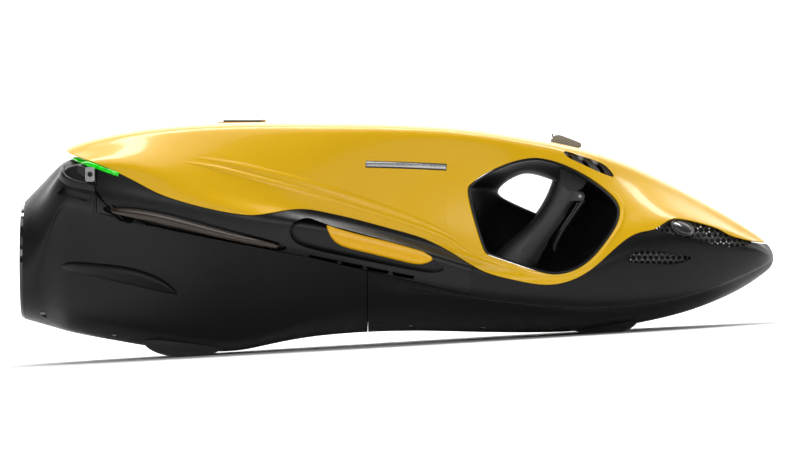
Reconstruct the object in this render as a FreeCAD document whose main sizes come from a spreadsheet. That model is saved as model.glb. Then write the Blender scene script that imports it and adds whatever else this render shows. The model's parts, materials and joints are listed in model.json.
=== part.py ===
import FreeCAD
import Part
import math
import os
import re
import Sketcher

# Hand-held jet scooter for swimming and diving, an assembly of separate pieces.
# It is drawn in the hull's own datum: X forward, Y to port, Z up, jet axis level, zero height
# at the sole of the rear feet. The last step stands it on its four feet, which tips the nose down.

Vec = FreeCAD.Vector
doc = FreeCAD.newDocument("dive_scooter")

# Driving dimensions, in millimetres unless the name says otherwise.
DIMENSIONS = [
    ("tail_x", -576), ("nose_x", 576), ("jet_height", 143), ("ring_radius", 87),
    ("cover_wall", 4), ("hull_wall", 5), ("band_depth", 18), ("panel_gap", 1.2),
    ("rim_round", 1.6), ("edge_round", 1), ("liner_wall", 3), ("liner_gap", 0.2), ("fit_gap", 0.4),
    ("duct_radius", 74), ("duct_wall", 3), ("duct_front", -345), ("tip_gap", 1),
    ("shaft_radius", 8), ("shaft_rear", -486), ("shaft_front", -98), ("run_gap", 0.05),
    ("stator_hub", 30), ("stator_rear", -500), ("stator_length", 58), ("vane_count", 7),
    ("bearing_radius", 15), ("bearing_width", 12),
    ("impeller_rear", -432), ("impeller_length", 66), ("impeller_hub", 27), ("blade_count", 5),
    ("seal_front", -230), ("seal_width", 20), ("seal_radius", 18),
    ("motor_rear", -224), ("motor_length", 134), ("motor_radius", 68), ("motor_wall", 5),
    ("air_gap", 1), ("rotor_radius", 36), ("core_length", 84),
    ("battery_rear", -74), ("battery_length", 160), ("battery_width", 236),
    ("battery_floor", 60), ("battery_tall", 170), ("box_round", 10),
    ("tray_floor", 52), ("tray_thick", 6), ("tray_width", 190),
    ("controller_rear", -216), ("controller_length", 116), ("controller_width", 110),
    ("controller_top", 262), ("cable_radius", 5),
    ("flap_x", -239), ("flap_length", 62), ("flap_width", 48), ("flap_thick", 2.6),
    ("hinge_x", -205), ("hinge_height", 358.5), ("hinge_pin", 1.5), ("knuckle", 3),
    ("socket_radius", 16), ("socket_depth", 26),
    ("grip_y", 162), ("button_radius", 8), ("button_travel", 2), ("trigger_pin", 2.5),
    ("trigger_x", 276), ("trigger_z", 243), ("trigger_width", 20), ("trigger_pull", 5.5),
    ("rear_foot_x", -303), ("front_foot_x", 310), ("foot_rise", 35), ("foot_y", 92),
    ("screw_head", 5), ("screw_shank", 2.5), ("screw_long", 14),
    ("lamp_radius", 10), ("eye_radius", 4),
]

sheet = doc.addObject("Spreadsheet::Sheet", "Sizes")
for row, (alias, value) in enumerate(DIMENSIONS, 1):
    sheet.set(f"A{row}", alias)
    sheet.set(f"B{row}", str(value))
    sheet.setAlias(f"B{row}", alias)
doc.recompute()
dim = {alias: float(sheet.get(alias)) for alias, value in DIMENSIONS}
jet_z = dim["jet_height"]

# Lines of the hull, each a list of (x, value) stations.
TOP = [(-576, 231), (-545, 264), (-520, 301), (-506, 318), (-490, 325), (-450, 336), (-390, 347),
       (-310, 354.5), (-220, 357), (-120, 356.5), (-30, 355.5), (60, 352), (140, 343.5), (220, 329.5),
       (290, 315.5), (350, 295.5), (410, 266.5), (460, 240), (505, 214.5), (540, 192), (560, 178),
       (570, 167.5), (575, 159), (576.5, 153)]
TAIL_TOP = [(-576, 231), (-545, 263), (-512, 296), (-490, 303), (-462, 309), (-430, 321), (-380, 343),
            (-330, 352.5), (-270, 356)] + [station for station in TOP if station[0] > -250]
BOTTOM = [(-576, 56), (-530, 43), (-490, 33), (-430, 22), (-364, 11), (-300, 4), (-250, 4), (-200, 16),
          (-150, 26), (-100, 32), (-40, 36), (30, 37.5), (120, 35.5), (200, 34.5), (280, 37), (349, 45.5),
          (395, 54.5), (441, 66), (487, 82.5), (533, 105), (560, 124), (571, 133), (575, 139), (576.5, 146)]
BEAM = [(-576, 87), (-540, 112), (-505, 146), (-460, 172), (-400, 192), (-320, 210), (-230, 225),
        (-130, 239), (-30, 249), (60, 255), (140, 257), (220, 252), (290, 239), (350, 218), (410, 188),
        (460, 154), (505, 116), (540, 80), (560, 53), (571, 30), (575, 15), (576.5, 5)]
WIDEST = [(-576, 150), (-545, 200), (-505, 240), (-460, 243), (-400, 236), (-320, 224), (-230, 205),
          (-130, 195), (-30, 171), (60, 145), (140, 121), (220, 113), (290, 126), (350, 150), (410, 168),
          (460, 168), (505, 163), (540, 159), (560, 155), (571, 151), (576.5, 149.5)]
UPPER_CREASE = [(-576, 180), (-545, 240), (-505, 282), (-460, 290), (-400, 287), (-334, 268), (-240, 243),
                (-150, 222), (-60, 201), (34, 177), (111, 152), (160, 140), (220, 137), (280, 153),
                (330, 182), (380, 202), (430, 205), (480, 193), (520, 181), (545, 172), (560, 163),
                (571, 156), (576.5, 151)]
LOWER_CREASE = [(-576, 120), (-560, 195), (-528, 232), (-500, 229), (-456, 218), (-303, 180), (-134, 156),
                (27, 111), (111, 94), (203, 84), (300, 80), (400, 90), (460, 104), (505, 118), (540, 132),
                (560, 140), (576.5, 148)]
BELLY_CREASE = [(-576, 90), (-500, 74), (-400, 50), (-300, 30), (-242, 24), (-200, 32), (-144, 56),
                (-78, 75), (-26, 88), (14, 92), (111, 91), (203, 76), (300, 66), (400, 78), (460, 93),
                (505, 110), (540, 127), (560, 137), (576.5, 147)]
CROWN = [(-576, 0.6), (-505, 0.66), (-400, 0.6), (-230, 0.6), (-30, 0.66), (140, 0.72), (250, 0.64),
         (350, 0.48), (460, 0.42), (576.5, 0.45)]
WAIST = [(-576, 0.95), (-505, 0.95), (-400, 0.925), (-300, 0.905), (-100, 0.885), (0, 0.88),
         (100, 0.885), (160, 0.93), (220, 0.95), (300, 0.93), (360, 0.9), (460, 0.84), (576.5, 0.8)]
BELLY = [(-576, 0.8), (-400, 0.74), (-300, 0.66), (-242, 0.6), (-150, 0.68), (-50, 0.76), (60, 0.8),
         (203, 0.8), (300, 0.74), (500, 0.7), (576.5, 0.7)]
STATIONS = [-576, -566, -552, -536, -520, -506, -492, -470, -436, -400, -350, -300, -250, -200, -150,
            -100, -50, 0, 50, 100, 150, 200, 250, 300, 345, 385, 425, 460, 495, 525, 548, 562, 570.5,
            574.8, 576.5]

# Side-view outlines, as (x, z).
COVER_EDGE = [(-510, 314), (-493, 305), (-475, 299), (-433, 284), (-387, 261), (-364, 247), (-318, 232),
              (-272, 221), (-226, 213), (-203, 215), (-180, 219), (-157, 223.5), (-134, 223.5),
              (-111, 219), (-65, 209), (-19, 196), (27, 184), (50, 175), (73, 163), (96, 149), (119, 134),
              (142, 124), (188, 114), (211, 110), (234, 109), (257, 114), (280, 124), (303, 141),
              (326, 163), (349, 182), (368, 189.5), (386, 191), (397, 198), (412, 208), (426, 210),
              (464, 201), (491, 193), (502, 184), (520, 179), (551, 172), (567, 172)]
MOUTH = [(105, 254), (109, 260), (126, 273), (150, 286), (174, 295), (196, 300), (213, 301), (237, 296),
         (260, 287), (284, 275), (307, 259), (327, 242), (336, 227), (336, 215), (331, 198), (315, 175),
         (299, 155), (284, 141), (265, 130), (245, 125), (229, 125), (205, 131), (174, 142), (140, 153),
         (133, 156), (127, 169), (118, 199), (110, 227)]
THROAT = [(151, 252), (154, 258), (160, 264), (170, 271.5), (182, 277.5), (193, 281), (203, 281.5),
          (219, 278), (235, 272.5), (251, 267), (263, 262), (268, 259), (269, 256), (267, 252),
          (262, 244), (255, 234), (248, 225), (241, 217), (234, 210.5), (228, 208.5), (221, 210),
          (208, 216), (193, 222.5), (176, 230), (164, 236), (157, 240.5), (153, 244.5), (151, 248)]
BAND_LOWER = [(-520, 233), (-500, 229), (-456, 218), (-303, 180), (-134, 156), (27, 111), (111, 94)]
RECESS = [(-162, 202), (-141, 211), (-129, 210), (-105, 199), (-30, 179), (45, 156), (72, 136),
          (70, 130), (54, 126), (23, 131), (-56, 147), (-134, 163), (-155, 172), (-162, 183)]
INSERT = [(-103, 199), (-80, 193), (-24, 178), (32, 163), (48, 156), (54, 150), (46, 142), (26, 139),
          (7, 143), (-40, 153), (-87, 163), (-99, 171), (-104, 185)]
GROOVE = [(-448, 224), (-439, 231), (-400, 228), (-358, 222), (-310, 209), (-261, 195), (-182, 175),
          (-166, 168), (-167, 162), (-180, 159), (-261, 174), (-339, 192), (-417, 209), (-437, 216)]
RAIL = [(-436, 223), (-428, 226), (-400, 225), (-358, 218), (-310, 205), (-261, 191), (-190, 173),
        (-176, 168), (-182, 164), (-230, 173), (-280, 183), (-358, 202), (-410, 213), (-430, 218)]
GILL = [(249, 313), (264, 309), (278, 304), (298, 298), (311, 293), (319, 287), (329, 275), (328, 271),
        (314, 276), (300, 282), (274, 294), (261, 300), (254, 305)]
UPPER_GRILLE = [(394, 188), (404, 199), (426, 216), (465, 207), (498, 197), (522, 184), (543, 175),
                (540, 171), (529, 168), (515, 165), (504, 166), (478, 171), (438, 180), (406, 186)]
LOWER_GRILLE = [(342, 143), (349, 152), (358, 160), (380, 162), (420, 156), (448, 151), (443, 147),
                (423, 139), (390, 140), (360, 142)]
LIGHT_BAR = [(-497, 306), (-480, 299.5), (-450, 289), (-421, 278), (-420, 272.5), (-450, 282.5),
             (-480, 293.5), (-498, 300)]
SLATS = [(252, 313), (276, 304), (299, 296)]
GRIP_AXIS = [(160, 112), (174, 136), (190, 160), (210, 183), (230, 208), (246, 234), (260, 262),
             (272, 288), (284, 314)]
GRIP_SIZE = [(42, 26), (36, 24), (28, 21), (21, 19), (18, 18), (18, 18), (21, 20), (26, 24), (32, 28)]
TRIGGER_AXIS = [(281, 238), (270, 222), (259, 205), (248, 189), (240, 174), (237, 166), (238, 160)]
TRIGGER_SIZE = [(5, 10), (4, 10), (3.6, 10), (3.6, 10), (4, 10), (4.5, 9.5), (3, 8)]


def at(line, x):
    """Value of a hull line at x, by a cubic through its stations."""
    if x <= line[0][0]:
        return line[0][1]
    if x >= line[-1][0]:
        return line[-1][1]
    i = max(k for k in range(len(line) - 1) if line[k][0] <= x)

    def slope(k):
        low, high = max(k - 1, 0), min(k + 1, len(line) - 1)
        return (line[high][1] - line[low][1]) / (line[high][0] - line[low][0])

    span = line[i + 1][0] - line[i][0]
    u = (x - line[i][0]) / span
    start, end = slope(i) * span, slope(i + 1) * span
    return ((2 * u**3 - 3 * u**2 + 1) * line[i][1] + (u**3 - 2 * u**2 + u) * start
            + (3 * u**2 - 2 * u**3) * line[i + 1][1] + (u**3 - u**2) * end)


def half_section(x, top_line):
    """Starboard half of the hull's cross-section at x, from the crown to the keel, as (y, z)."""
    top, bottom, beam = at(top_line, x), at(BOTTOM, x), at(BEAM, x)
    wide_z, crease, low, belly_z = at(WIDEST, x), at(UPPER_CREASE, x), at(LOWER_CREASE, x), at(BELLY_CREASE, x)
    crown, waist, belly = at(CROWN, x), at(WAIST, x), at(BELLY, x)
    tall = top - bottom
    edge = min(12, 0.12 * tall)
    small = min(1, beam / 60)
    soft = min(1, tall / 100)
    if top_line is TAIL_TOP and x < -300:
        crease = min(crease, top - 12)
    ledge = min(6, 0.25 * (crease - wide_z))
    points = [
        (0, top), (crown * beam * 0.5, top - 0.5), (crown * beam - 8 * small, top - 0.3 * edge),
        (crown * beam + 5 * small, top - 1.3 * edge),
        (beam * (crown + (waist - crown) * 0.62), (top - edge + crease) / 2),
        (beam * (waist - 0.004), crease + ledge), (beam * (waist + 0.3 * (1 - waist)), crease - ledge),
        (beam * 0.99, wide_z + 0.4 * (crease - wide_z)), (beam, wide_z),
        (beam * 0.985, low + 0.35 * (wide_z - low)), (beam * 0.965, low + 3 * soft),
        (beam * 0.93, low - 7 * soft), (beam * (0.93 + belly) * 0.4975, (low + belly_z) / 2),
        (beam * belly, belly_z + 3 * soft), (beam * (belly - 0.06), belly_z - 0.35 * (belly_z - bottom)),
        (beam * belly * 0.62, bottom + 0.1 * (belly_z - bottom)), (beam * belly * 0.3, bottom), (0, bottom)]
    # towards the tail the section turns into the round end of the jet
    blend = min(1, max(0, (-500 - x) / 62))
    blend = blend * blend * (3 - 2 * blend)
    radius, middle = (top - bottom) / 2, (top + bottom) / 2
    rounded = []
    for i, (y, z) in enumerate(points):
        angle = math.pi * i / (len(points) - 1)
        ring = (radius * math.sin(angle), middle + radius * math.cos(angle))
        rounded.append((y + (ring[0] - y) * blend, z + (ring[1] - z) * blend))
    return rounded


def skin(rows):
    """Closed solid under one smooth B-spline surface that follows rings of control points."""
    first = [p * 2 - q for p, q in zip(rows[0], rows[1])]
    last = [p * 2 - q for p, q in zip(rows[-1], rows[-2])]
    rows = [first] + rows + [last]
    along, around = len(rows), len(rows[0])
    surface = Part.BSplineSurface()
    surface.buildFromPolesMultsKnots(rows, [1] * (along + 4), [1] * (around + 1), list(range(along + 4)),
                                     list(range(around + 1)), False, True, 3, 3)
    ends = surface.bounds()[:2]
    caps = [Part.Face(Part.Wire([surface.uIso(u).toShape()])) for u in ends]
    solid = Part.Solid(Part.makeShell([surface.toShape()] + caps))
    if solid.Volume < 0:
        solid.reverse()
    return solid


def hull(inset=0.0, top_line=TOP, start=-600, stop=600):
    """The hull's outer form, or the same form drawn in by an inset."""
    rows = []
    for x in STATIONS:
        if not start <= x <= stop:
            continue
        half = half_section(x, top_line)
        top, bottom, beam = half[0][1], half[-1][1], max(y for y, z in half)
        across = max(0.2, 1 - inset / beam)
        up = max(0.2, 1 - 2 * inset / (top - bottom))
        middle = (top + bottom) / 2
        half = [(y * across, middle + (z - middle) * up) for y, z in half]
        rows.append([Vec(x, -y, z) for y, z in half] + [Vec(x, y, z) for y, z in half[-2:0:-1]])
    return skin(rows)


def grown(points, amount):
    """Closed outline moved outwards by an amount, point by point."""
    area = sum(a[0] * b[1] - b[0] * a[1] for a, b in zip(points, points[1:] + points[:1]))
    turn = 1 if area > 0 else -1
    result = []
    for i, (x, z) in enumerate(points):
        before, after = points[i - 1], points[(i + 1) % len(points)]
        dx, dz = after[0] - before[0], after[1] - before[1]
        size = math.hypot(dx, dz)
        result.append((x + turn * dz / size * amount, z - turn * dx / size * amount))
    return result


def slab(wire, near, far):
    """Prism of a closed side-view wire between two Y values."""
    face = Part.Face(wire)
    face.translate(Vec(0, near, 0))
    return face.extrude(Vec(0, far - near, 0))


def smooth_prism(points, near, far):
    curve = Part.BSplineCurve()
    curve.buildFromPoles([Vec(x, 0, z) for x, z in points], True)
    return slab(Part.Wire([curve.toShape()]), near, far)


def straight_prism(points, near, far):
    return slab(Part.makePolygon([Vec(x, 0, z) for x, z in points + points[:1]]), near, far)


def edge_prism(line, corners):
    """Full-width prism with one smooth side along a line and straight sides round the corners."""
    curve = Part.BSplineCurve()
    curve.buildFromPoles([Vec(x, 0, z) for x, z in line])
    chain = [line[-1]] + corners + [line[0]]
    sides = [Part.LineSegment(Vec(a[0], 0, a[1]), Vec(b[0], 0, b[1])).toShape()
             for a, b in zip(chain, chain[1:])]
    return slab(Part.Wire([curve.toShape()] + sides), -400, 400)


def box(low, high):
    return Part.makeBox(high[0] - low[0], high[1] - low[1], high[2] - low[2], Vec(*low))


def tube_x(radius, start, stop, z=None):
    """Cylinder along X about the jet axis or another height."""
    return Part.makeCylinder(radius, stop - start, Vec(start, 0, jet_z if z is None else z), Vec(1, 0, 0))


def mirrored(shape):
    return shape.mirror(Vec(0, 0, 0), Vec(0, 1, 0))


def only_solid(shape):
    """The largest solid of a boolean result."""
    return max(shape.Solids, key=lambda solid: solid.Volume)


def softened(shape, faces_of, radius, shortest=60, where=lambda bounds: True):
    """Rounds the long edges that lie on another solid's faces; keeps the sharp shape if that fails."""
    chosen = []
    for edge in shape.Edges:
        seam = len(shape.ancestorsOfType(edge, Part.Face)) < 2
        if edge.Length < shortest or seam or not where(edge.BoundBox):
            continue
        span = edge.LastParameter - edge.FirstParameter
        spots = [Part.Vertex(edge.valueAt(edge.FirstParameter + span * t)) for t in (0.3, 0.7)]
        if all(min(face.distToShape(spot)[0] for face in faces_of.Faces) < 0.02 for spot in spots):
            chosen.append(edge)
    try:
        rounded = shape.makeFillet(radius, chosen)
    except Exception:
        print("  left sharp:", len(chosen), "edges")
        return shape
    if not rounded.isValid() or rounded.Volume <= 0:
        print("  fillet refused:", len(chosen), "edges")
        return shape
    return rounded


made = []


def keep(name, shape, place=None):
    """Adds a piece whose shape is set in code."""
    feature = doc.addObject("Part::Feature", name)
    feature.Label = name
    feature.Shape = shape
    if place:
        feature.Placement = place
    made.append(feature)
    print(name, round(shape.Volume / 1000, 1), "cm3", len(shape.Solids), "solid(s)")
    return feature


def keep_pair(name, starboard):
    keep(name + "_right", starboard)
    keep(name + "_left", mirrored(starboard))


def on_sheet(text):
    """An expression on the sheet's cells, from one written with their bare aliases."""
    return re.sub(r"[a-z_]+", lambda word: "Sizes." + word[0], text)


def value_of(text):
    return float(sheet.evalExpression(on_sheet(text)))


def profile_sketch(body, points, plane="XZ_Plane"):
    """Closed polygon in a body's own plane, each corner driven by expressions on the sheet."""
    sketch = body.newObject("Sketcher::SketchObject", body.Name + "_profile")
    origin = [f for f in body.Origin.OriginFeatures if f.Role == plane][0]
    sketch.AttachmentSupport = [(origin, "")]
    sketch.MapMode = "FlatFace"
    spots = [Vec(value_of(across), value_of(up), 0) for across, up in points]
    for i, spot in enumerate(spots):
        sketch.addGeometry(Part.LineSegment(spot, spots[(i + 1) % len(spots)]), False)
    for i, (across, up) in enumerate(points):
        sketch.addConstraint(Sketcher.Constraint("Coincident", i - 1 if i else len(spots) - 1, 2, i, 1))
        for kind, text, value in (("DistanceX", across, spots[i].x), ("DistanceY", up, spots[i].y)):
            number = sketch.addConstraint(Sketcher.Constraint(kind, -1, 1, i, 1, value))
            sketch.renameConstraint(number, f"{kind.lower()}_{i}")
            sketch.setExpression(f"Constraints.{kind.lower()}_{i}", on_sheet(text))
    return sketch


def new_body(name, place):
    body = doc.addObject("PartDesign::Body", name)
    body.Label = name
    body.Placement = place
    made.append(body)
    return body


def turned(name, points):
    """Body turned about the jet axis from a profile of (along, radius) expressions."""
    body = new_body(name, FreeCAD.Placement(Vec(0, 0, jet_z), FreeCAD.Rotation()))
    sketch = profile_sketch(body, points)
    turn = body.newObject("PartDesign::Revolution", name + "_turn")
    turn.Profile = sketch
    turn.ReferenceAxis = (sketch, ["H_Axis"])
    turn.Angle = 360
    return body


def block(name, points, height, place, fillet=None, chamfer=None):
    """Body padded up from a plan outline, with its upright edges rounded."""
    body = new_body(name, place)
    sketch = profile_sketch(body, points, "XY_Plane")
    pad = body.newObject("PartDesign::Pad", name + "_pad")
    pad.Profile = sketch
    pad.setExpression("Length", on_sheet(height))
    doc.recompute()
    if fillet:
        rounding = body.newObject("PartDesign::Fillet", name + "_rounding")
        rounding.Base = (pad, [f"Edge{i}" for i, e in enumerate(pad.Shape.Edges, 1)
                               if abs(e.tangentAt(e.FirstParameter).z) > 0.9])
        rounding.setExpression("Radius", on_sheet(fillet))
        doc.recompute()
    if chamfer:
        base = body.Tip
        bevel = body.newObject("PartDesign::Chamfer", name + "_bevel")
        bevel.Base = (base, [f"Face{i}" for i, f in enumerate(base.Shape.Faces, 1)
                             if f.normalAt(0, 0).z > 0.9])
        bevel.Size = chamfer
        doc.recompute()
    return body


def rectangle(length, width):
    """Corners of a centred rectangle as expressions."""
    return [(f"-{length} / 2", f"-{width} / 2"), (f"{length} / 2", f"-{width} / 2"),
            (f"{length} / 2", f"{width} / 2"), (f"-{length} / 2", f"{width} / 2")]


def swept_rows(axis, sizes, y, extra=0.0, count=16):
    """Rings of control points round a bent bar; sizes are half-widths in the side view and across."""
    rows = []
    for i, (x, z) in enumerate(axis):
        before, after = axis[max(i - 1, 0)], axis[min(i + 1, len(axis) - 1)]
        dx, dz = after[0] - before[0], after[1] - before[1]
        size = math.hypot(dx, dz)
        normal = (dz / size, -dx / size)
        wide, deep = sizes[i][0] + extra, sizes[i][1] + extra
        ring = []
        for k in range(count):
            angle = 2 * math.pi * k / count
            out = wide * math.cos(angle)
            ring.append(Vec(x + normal[0] * out, y + deep * math.sin(angle), z + normal[1] * out))
        rows.append(ring)
    return rows


# outer shells
outer = hull()
tail_form = hull(0, TAIL_TOP)
cover_inner = hull(dim["cover_wall"], stop=565)
hull_inner = hull(dim["hull_wall"], TAIL_TOP, -570, 565)


def funnel(extra):
    """Space of the hand opening: a straight mouth on each side that closes in to one small window."""
    mouth, throat = grown(MOUTH, extra), grown(THROAT, extra)
    shares = [(300, 1), (262, 1), (232, 1), (200, 1), (170, 1), (143, 0.95), (112, 0.68), (78, 0.26),
              (48, 0), (22, 0), (0, 0)]
    rows = []
    for y, share in shares + [(-y, share) for y, share in shares[-2::-1]]:
        rows.append([Vec(t[0] + (m[0] - t[0]) * share, y, t[1] + (m[1] - t[1]) * share)
                     for m, t in zip(mouth, throat)])
    return skin(rows)


def yellow_region(drop):
    line = [(x, z - drop) for x, z in COVER_EDGE]
    return edge_prism(line, [(line[-1][0] + drop, 500), (line[0][0] - drop, 500)])


liner_skin = -dim["liner_gap"]
hand_space = funnel(liner_skin - dim["liner_wall"])
hand_liner_outer = funnel(liner_skin)
above_edge = yellow_region(0)


def hood_block(extra, top_extra=0.0):
    """Wedge of the display hood in side view, across the deck."""
    outline = [(236 - extra, 312), (236 - extra, 331), (241, 337 + top_extra), (249, 337 + top_extra),
               (264, 331.5), (280 + extra, 325), (286 + extra, 312)]
    return straight_prism(outline, -44 - extra, 44 + extra)


def flap_pocket():
    low = (dim["flap_x"] - dim["socket_radius"] - 2, -dim["socket_radius"] - 2, 320)
    high = (dim["flap_x"] + dim["socket_radius"] + 2, dim["socket_radius"] + 2, 380)
    return box(low, high)


def hinge_solid(radius, half_width):
    return Part.makeCylinder(radius, 2 * half_width, Vec(dim["hinge_x"], -half_width, dim["hinge_height"]),
                             Vec(0, 1, 0))


def gill_prisms(extra):
    outline = grown(GILL, extra)
    return smooth_prism(outline, -300, -20).fuse(smooth_prism(outline, 20, 300))


def top_cover():
    shape = outer.cut(cover_inner).common(above_edge)
    mouth = smooth_prism(grown(MOUTH, dim["fit_gap"]), -400, 400)
    shape = only_solid(shape.cut(mouth))
    shape = softened(shape, outer, dim["rim_round"], 100, lambda bounds: bounds.XMin > 100)
    shape = softened(shape, outer, dim["edge_round"], 700)
    deck = box((dim["flap_x"] - 36, -28, 350), (dim["hinge_x"] + 6, 28, 357.2)).cut(cover_inner)
    ears = [box((dim["hinge_x"] - 3, y, 352), (dim["hinge_x"] + 3, y + 7, dim["hinge_height"])).fuse(
        Part.makeCylinder(dim["knuckle"], 7, Vec(dim["hinge_x"], y, dim["hinge_height"]), Vec(0, 1, 0)))
        for y in (12.5, -19.5)]
    shape = shape.fuse([deck] + [ear.cut(cover_inner) for ear in ears])
    knuckle_room = hinge_solid(dim["knuckle"] + 0.6, 12.4)
    holes = [gill_prisms(0), hood_block(dim["fit_gap"]), flap_pocket(), knuckle_room,
             hinge_solid(dim["hinge_pin"] + 0.03, 20)]
    return only_solid(shape.cut(holes))


def slot_prisms(near, far):
    """The row of finger slots under the side recess, between its ribs."""
    spans = [(-134, -89), (-85, -51), (-47, -12), (-8, 26)]
    prisms = []
    for start, stop in spans:
        height = [155.0 - 0.203 * (x + 134) for x in (start, stop)]
        prisms.append(straight_prism([(start, height[0]), (stop, height[1]), (stop - 3, height[1] - 4.5),
                                      (start + 2, height[0] - 6)], near, far))
    return prisms


def below_edge():
    """Side-view region of all that lies under the cover's edge, and the deck under its tail."""
    drop = dim["panel_gap"]
    line = [(-462, 293.4)] + [(x, z - drop) for x, z in COVER_EDGE if x > -440]
    end = line[-1]
    return edge_prism(line, [(end[0] + drop, end[1]), (end[0] + drop, 500), (700, 500), (700, -60),
                             (-700, -60), (-700, 500), (line[0][0], 500)])


def band_region(gap):
    """Side-view region over the lower crease, from the stern ridge to the front of the side frame."""
    line = [(x, z + gap) for x, z in BAND_LOWER if x > -462]
    line[0] = (line[0][0] + gap, line[0][1])
    line[-1] = (line[-1][0] - gap, line[-1][1])
    return edge_prism(line, [(line[-1][0], 500), (line[0][0], 500)])


def duct_rows(extra):
    """Rings of the intake elbow, from the pump tube down to its mouth in the belly."""
    low_side = [(-372, 69), (-345, 69), (-344, 54), (-341, 34), (-337, 14), (-334, -12)]
    high_side = [(-372, 217), (-345, 217), (-300, 186), (-256, 124), (-228, 60), (-206, -12)]
    widths = [74, 74, 74, 71, 68, 66]
    rows = []
    for low, high, width in zip(low_side, high_side, widths):
        cx, cz = (low[0] + high[0]) / 2, (low[1] + high[1]) / 2
        ux, uz = (high[0] - low[0]) / 2, (high[1] - low[1]) / 2
        size = math.hypot(ux, uz)
        ring = []
        for k in range(24):
            angle = 2 * math.pi * k / 24
            along, across = math.cos(angle) * (1 + extra / size), math.sin(angle) * (width + extra)
            ring.append(Vec(cx + ux * along, across, cz + uz * along))
        rows.append(ring)
    return rows


elbow_space = skin(duct_rows(0))
elbow_outer = skin(duct_rows(dim["duct_wall"]))
elbow_clear = skin(duct_rows(dim["duct_wall"] + dim["fit_gap"]))
screw_spots = [(-540, 62), (-430, 92), (-180, 74), (-80, 96), (20, 118), (130, 120), (230, 110), (400, 60)]


def screw(x, y, extra):
    """Countersunk cap screw from below, at the depth where the hull's skin is."""
    line = Part.makeLine(Vec(x, y, -20), Vec(x, y, 160))
    hit = min(v.Z for v in outer.common(line).Vertexes)
    head = Part.makeCylinder(dim["screw_head"] + extra, 3 + extra, Vec(x, y, hit + 0.6))
    shank = Part.makeCylinder(dim["screw_shank"] + extra, dim["screw_long"] + extra, Vec(x, y, hit + 0.6))
    solid = head.fuse(shank)
    if extra:
        return solid.fuse(Part.makeCylinder(dim["screw_head"] + extra, 12, Vec(x, y, hit - 11)))
    socket = [Vec(x + 2.2 * math.cos(k * math.pi / 3), y + 2.2 * math.sin(k * math.pi / 3), hit)
              for k in range(7)]
    recess = Part.Face(Part.makePolygon(socket)).extrude(Vec(0, 0, 2.6))
    return solid.cut(recess)


def lower_hull():
    """Stern and bow halves of the lower hull, cut apart at an upright seam."""
    seam = -46
    region = below_edge().cut(band_region(0))
    light = smooth_prism(grown(LIGHT_BAR, dim["fit_gap"]), -400, 400)
    notch = straight_prism([(-517, 247), (-509, 256), (-463, 244), (-470, 235)], -400, 400)
    screws = [screw(x, side * y, dim["fit_gap"]) for x, y in screw_spots for side in (1, -1)]
    grilles = [smooth_prism(UPPER_GRILLE, -400, 400), smooth_prism(LOWER_GRILLE, -400, 400)]
    jet_end = tube_x(dim["duct_radius"] + dim["duct_wall"] + dim["fit_gap"], -700, -540)
    halves = []
    for low, high, tools in ((-571, seam, [light, notch]), (seam + dim["panel_gap"], 700, grilles)):
        span = box((low, -400, -60), (high, 400, 500))
        ring = tail_form.common(span).cut(hull_inner.common(span))
        halves.append(ring.common(region).cut(tools))
    rear, bow = halves
    rear = rear.cut([elbow_clear, jet_end] + screws)
    bow = bow.cut(screws)
    for part in (rear, bow):
        print("  hull half", len(part.Solids), part.isValid())
    return only_solid(rear), only_solid(bow)


def side_frame():
    """Deep band along the starboard side with its recess, finger slots and rail groove."""
    depth = hull(dim["band_depth"], stop=540)
    region = below_edge().common(band_region(dim["panel_gap"])).common(box((-700, -400, -60), (700, 0, 500)))
    shape = tail_form.cut(depth).common(region)
    pocket = outer.cut(hull(12, stop=540))
    shallow = outer.cut(hull(8, stop=540))
    light_room = tail_form.cut(hull(8, TAIL_TOP, stop=540))
    cuts = [pocket.common(smooth_prism(RECESS, -400, 0)), shallow.common(smooth_prism(GROOVE, -400, 0)),
            pocket.common(smooth_prism(grown(INSERT, dim["fit_gap"]), -400, 0)),
            light_room.common(smooth_prism(grown(LIGHT_BAR, dim["fit_gap"]), -400, 0))]
    cuts += [pocket.common(prism) for prism in slot_prisms(-400, 0)]
    return only_solid(shape.cut(cuts))


def between(shallow, deep, outline, stop=565):
    """Piece that follows the hull between two insets, inside a side-view outline, starboard side."""
    layer = hull(shallow, stop=stop + 5).cut(hull(deep, stop=stop))
    return only_solid(layer.common(smooth_prism(outline, -400, -2)))


print("shells")
keep("top_cover", top_cover())
stern_shape, bow_shape = lower_hull()
keep("stern_hull", stern_shape)
keep("bow_hull", bow_shape)
keep_pair("side_frame", side_frame())
keep_pair("side_insert", softened(between(3, 11.6, INSERT), hull(3, stop=570), 1.5, 60))
keep_pair("side_rail", between(0, 7.6, RAIL))
tail_light = hull(-1.2, TAIL_TOP).cut(hull(6, TAIL_TOP)).common(smooth_prism(LIGHT_BAR, -400, -2))
keep_pair("tail_light", only_solid(tail_light))


def hand_liner():
    wall = hand_liner_outer.cut(hand_space)
    shape = wall.common(hull(1.2)).common(box((0, -400, 0), (500, -0.3, 500)))
    return only_solid(shape)


def gill_vent():
    """Frame behind the gill opening with three slanted slats."""
    layer = hull(5, stop=575).cut(hull(11, stop=565))
    frame = layer.common(smooth_prism(grown(GILL, 4), -400, -20))
    slats = [straight_prism([(x, z + 6), (x + 11, z + 3), (x + 32, z - 24), (x + 21, z - 24)], -400, -20)
             for x, z in SLATS]
    window = smooth_prism(GILL, -400, -20).cut(slats)
    return only_solid(frame.cut(window))


print("openings and trim")
keep_pair("hand_liner", hand_liner())
keep_pair("gill_vent", gill_vent())
keep_pair("nose_grille", between(5.4, 8, grown(UPPER_GRILLE, 3), 562))
keep_pair("intake_grille", between(5.4, 8, grown(LOWER_GRILLE, 3)))


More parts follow.
